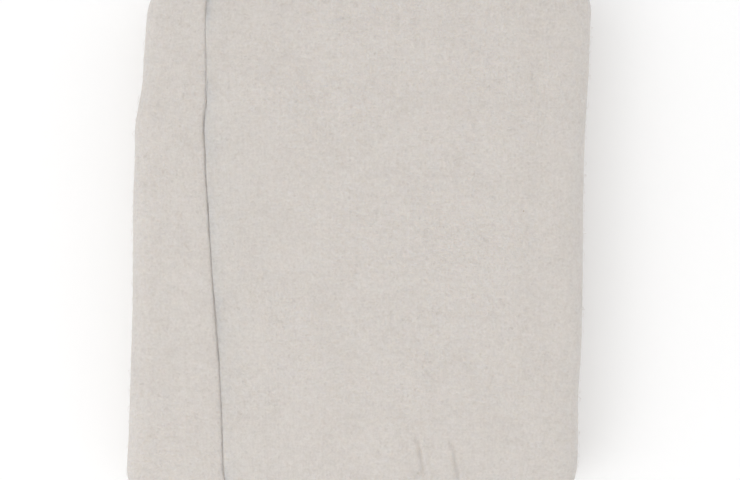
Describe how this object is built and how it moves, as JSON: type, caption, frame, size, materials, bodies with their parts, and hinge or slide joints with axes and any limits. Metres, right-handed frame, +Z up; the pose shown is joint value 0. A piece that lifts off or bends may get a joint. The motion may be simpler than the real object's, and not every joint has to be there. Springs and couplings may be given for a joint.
{
  "type": "flat-rolled quilt batting",
  "caption": "Soft cotton sheet, folded lengthwise and wound flat into a rectangular pack, with its outer end lying on the face.",
  "frame": {"origin": "centre of the pack's box, on the flat underside", "axes": "+X across the pack, away from the outer end; +Y along the winding axis; +Z up, out of the face that shows the outer end"},
  "size_m": [0.3128, 0.3474, 0.0837],
  "materials": {
    "cotton_batting": "matte, soft needle-punched cotton"
  },
  "bodies": {
    "root": {"batting": "cotton_batting"}
  },
  "joints": []
}
